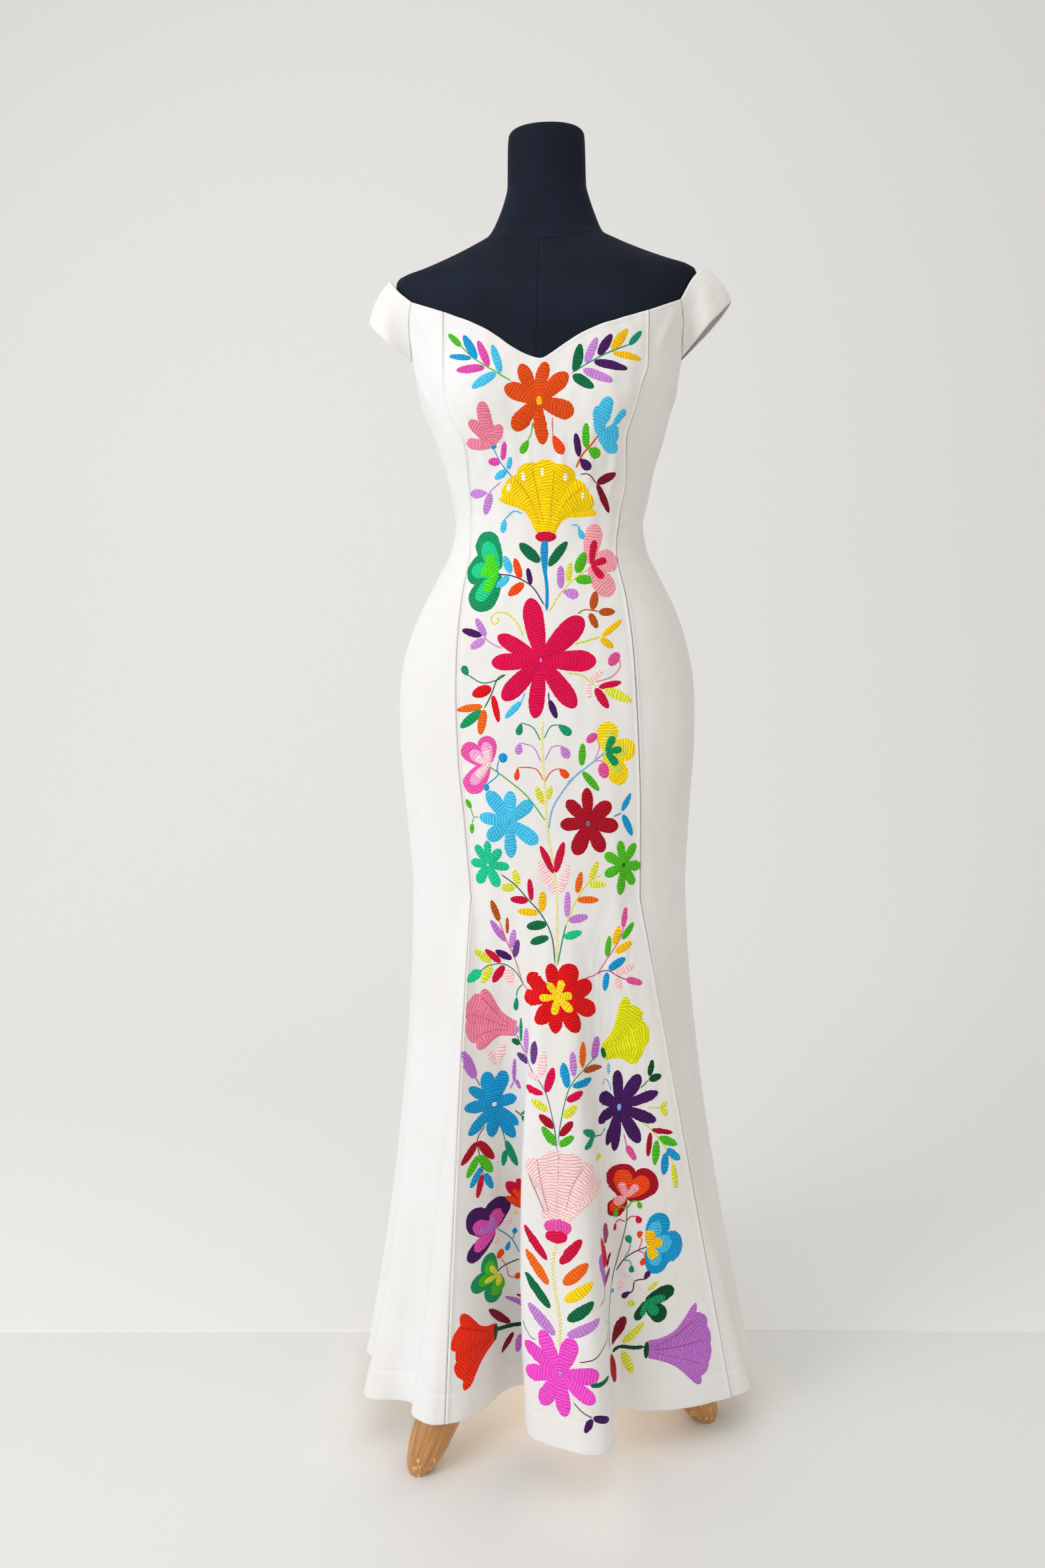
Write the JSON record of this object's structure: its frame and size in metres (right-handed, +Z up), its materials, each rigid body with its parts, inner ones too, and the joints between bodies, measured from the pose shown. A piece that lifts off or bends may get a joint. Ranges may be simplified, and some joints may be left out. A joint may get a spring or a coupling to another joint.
{
  "type": "off-the-shoulder embroidered dress on a limbless dress form with a three-legged stand",
  "caption": "Ivory off-the-shoulder flared dress with a floral embroidered front panel, on a limbless dress form with a wooden three-legged stand.",
  "frame": {"origin": "on the floor, under the centre of the object's box; the stand's pole rises 12.5 mm to -X and 17.4 mm to -Y of it", "axes": "+Z up the pole; the dress faces -Y, and the wearer's left is at +X"},
  "size_m": [0.5009, 0.4208, 1.6112],
  "materials": {
    "cloth": "matt ivory crepe with stitched flowers and leaves in many colours on the front panel",
    "form_jersey": "matt dark navy jersey cover with seams",
    "steel": "plain steel tube, hidden under the skirt",
    "wood": "golden oak, satin varnish, a little worn at the feet"
  },
  "bodies": {
    "root": {"front_panel": "cloth", "side_front_left": "cloth", "side_front_right": "cloth", "back_left": "cloth", "back_right": "cloth", "sleeve_left": "cloth", "sleeve_right": "cloth", "dress_form": "form_jersey", "stand_pole": "steel", "stand_hub": "wood", "leg_front": "wood", "leg_side": "wood", "leg_back": "wood"}
  },
  "joints": []
}
